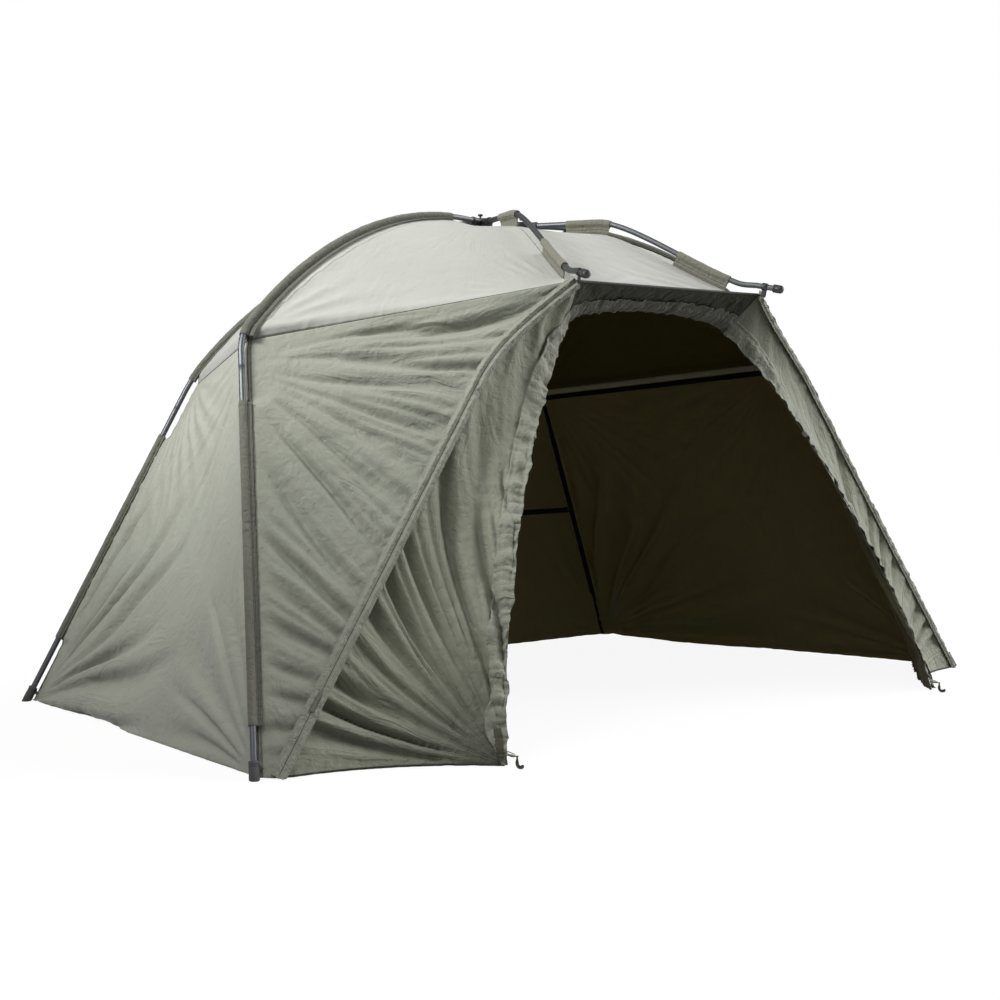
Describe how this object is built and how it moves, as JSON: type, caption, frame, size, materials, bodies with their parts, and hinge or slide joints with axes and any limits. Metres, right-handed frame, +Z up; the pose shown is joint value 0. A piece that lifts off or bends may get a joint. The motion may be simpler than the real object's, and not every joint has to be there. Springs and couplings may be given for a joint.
{
  "type": "bivvy tent",
  "caption": "Free-standing open-fronted fishing bivvy: hub and bent alloy poles carrying olive-grey coated cloth, zipped front panels and an arched doorway.",
  "frame": {"origin": "on the ground, in the middle of the bounding box of the standing shelter", "axes": "+X to the shelter's own right-hand wing as seen by someone who faces the same way as +Y, the doorway faces -Y, +Z up"},
  "size_m": [2.8156, 1.722, 1.4164],
  "materials": {
    "roof_cloth": "coated olive-grey cloth, taut, slight sheen",
    "wall_cloth": "coated olive-grey cloth, creased",
    "webbing": "dark olive stitched tape and sleeve cloth",
    "alloy": "drawn tube, dull grey",
    "moulding": "black moulded plastic",
    "rubber": "black, matt",
    "dark_metal": "dark lacquered zinc"
  },
  "bodies": {
    "hub": {"hub_bracket": "moulding", "rear_roof": "roof_cloth", "rear_wall": "wall_cloth", "brow_roof": "roof_cloth", "door_header": "wall_cloth"},
    "left_wing": {"left_hub_block": "moulding", "left_front_rib": "alloy", "left_rear_rib": "alloy", "left_front_rib_sleeve": "webbing", "left_rear_rib_sleeve": "webbing", "left_front_leg_sleeve": "webbing", "left_rear_leg_sleeve": "webbing", "left_peak_pole": "alloy", "left_peak_cap": "moulding", "left_peak_clip": "moulding", "left_peak_inner_sleeve": "webbing", "left_peak_outer_sleeve": "webbing", "left_side_roof": "roof_cloth", "left_side_wall": "wall_cloth", "left_front_roof": "roof_cloth", "left_front_panel": "wall_cloth", "left_door_panel": "wall_cloth", "left_zip_tape": "webbing", "left_peg_loop": "webbing"},
    "left_knob": {"left_hub_knob": "moulding"},
    "left_front_support": {"left_front_leg": "alloy", "left_front_foot": "rubber"},
    "left_rear_support": {"left_rear_leg": "alloy", "left_rear_foot": "rubber"},
    "left_slider": {"left_zip_slider": "dark_metal"},
    "left_pull": {"left_zip_pull": "dark_metal"},
    "left_hook": {"left_peg_hook": "moulding"},
    "right_wing": {"right_hub_block": "moulding", "right_front_rib": "alloy", "right_rear_rib": "alloy", "right_front_rib_sleeve": "webbing", "right_rear_rib_sleeve": "webbing", "right_front_leg_sleeve": "webbing", "right_rear_leg_sleeve": "webbing", "right_peak_pole": "alloy", "right_peak_cap": "moulding", "right_peak_clip": "moulding", "right_peak_inner_sleeve": "webbing", "right_peak_outer_sleeve": "webbing", "right_side_roof": "roof_cloth", "right_side_wall": "wall_cloth", "right_front_roof": "roof_cloth", "right_front_panel": "wall_cloth", "right_door_panel": "wall_cloth", "right_zip_tape": "webbing", "right_peg_loop": "webbing"},
    "right_knob": {"right_hub_knob": "moulding"},
    "right_front_support": {"right_front_leg": "alloy", "right_front_foot": "rubber"},
    "right_rear_support": {"right_rear_leg": "alloy", "right_rear_foot": "rubber"},
    "right_slider": {"right_zip_slider": "dark_metal"},
    "right_pull": {"right_zip_pull": "dark_metal"},
    "right_hook": {"right_peg_hook": "moulding"}
  },
  "joints": [
    {"name": "left_fold", "type": "hinge", "parent": "hub", "child": "left_wing", "pos_m": [-0.075, 0.13038, 1.371], "axis": [0, -1, 0], "range_deg": [0, 32], "deforming": ["rear_roof", "rear_wall", "brow_roof", "door_header"]},
    {"name": "left_knob_turn", "type": "hinge", "parent": "left_wing", "child": "left_knob", "pos_m": [-0.089, 0.13038, 1.4044], "axis": [0, 0, 1], "range_deg": [0, 360]},
    {"name": "left_front_leg_slide", "type": "slide", "parent": "left_wing", "child": "left_front_support", "axis": [-0.2491, -0.3931, -0.8851], "range_m": [0, 0.06]},
    {"name": "left_rear_leg_slide", "type": "slide", "parent": "left_wing", "child": "left_rear_support", "axis": [-0.452, 0.1335, -0.882], "range_m": [0, 0.06]},
    {"name": "left_zip_slide", "type": "slide", "parent": "left_wing", "child": "left_slider", "axis": [0.5994, 0.0636, 0.798], "range_m": [-0.16, 0.8]},
    {"name": "left_pull_swing", "type": "hinge", "parent": "left_slider", "child": "left_pull", "pos_m": [-1.22897, -0.56989, 0.17498], "axis": [-0.7155, 0.4894, 0.4985], "range_deg": [0, 160]},
    {"name": "left_hook_swing", "type": "hinge", "parent": "left_wing", "child": "left_hook", "pos_m": [-0.86496, -0.84289, 0.027], "axis": [-1, 0, 0], "range_deg": [-15, 90]},
    {"name": "right_fold", "type": "hinge", "parent": "hub", "child": "right_wing", "pos_m": [0.075, 0.13038, 1.371], "axis": [0, 1, 0], "range_deg": [0, 32]},
    {"name": "right_knob_turn", "type": "hinge", "parent": "right_wing", "child": "right_knob", "pos_m": [0.089, 0.13038, 1.4044], "axis": [0, 0, 1], "range_deg": [0, 360]},
    {"name": "right_front_leg_slide", "type": "slide", "parent": "right_wing", "child": "right_front_support", "axis": [0.2491, -0.3931, -0.8851], "range_m": [0, 0.06]},
    {"name": "right_rear_leg_slide", "type": "slide", "parent": "right_wing", "child": "right_rear_support", "axis": [0.452, 0.1335, -0.882], "range_m": [0, 0.06]},
    {"name": "right_zip_slide", "type": "slide", "parent": "right_wing", "child": "right_slider", "axis": [-0.5994, 0.0636, 0.798], "range_m": [-0.16, 0.8]},
    {"name": "right_pull_swing", "type": "hinge", "parent": "right_slider", "child": "right_pull", "pos_m": [1.22897, -0.56989, 0.17498], "axis": [-0.7155, -0.4894, -0.4985], "range_deg": [0, 160]},
    {"name": "right_hook_swing", "type": "hinge", "parent": "right_wing", "child": "right_hook", "pos_m": [0.86496, -0.84289, 0.027], "axis": [-1, 0, 0], "range_deg": [-15, 90]}
  ],
  "couplings": [
    {"joint": "right_fold", "follows": "left_fold", "ratio": 1}
  ]
}
